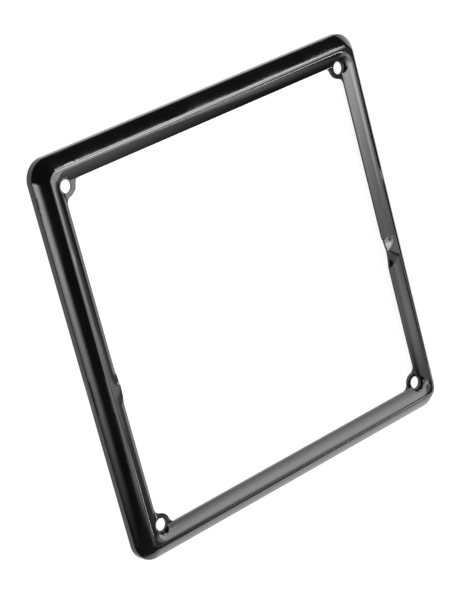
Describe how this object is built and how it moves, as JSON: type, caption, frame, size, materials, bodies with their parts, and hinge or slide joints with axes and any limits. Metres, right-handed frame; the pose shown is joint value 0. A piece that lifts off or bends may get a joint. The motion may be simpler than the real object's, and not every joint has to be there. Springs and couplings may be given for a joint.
{
  "type": "number plate surround",
  "caption": "Near-square pressed-steel surround for a number plate: raised bead, turned-down rim, open window and a drilled ear in each corner.",
  "frame": {"origin": "centre of the back edge of the rim, on the plane the part lies on", "axes": "+Z out of the front of the plate, +Y to the top of the plate, +X to the right as seen from the front"},
  "size_m": [0.1768, 0.1718, 0.0085],
  "materials": {
    "black_paint": "gloss black paint over pressed steel, with slight orange peel"
  },
  "bodies": {
    "root": {"plate_frame": "black_paint"}
  },
  "joints": []
}
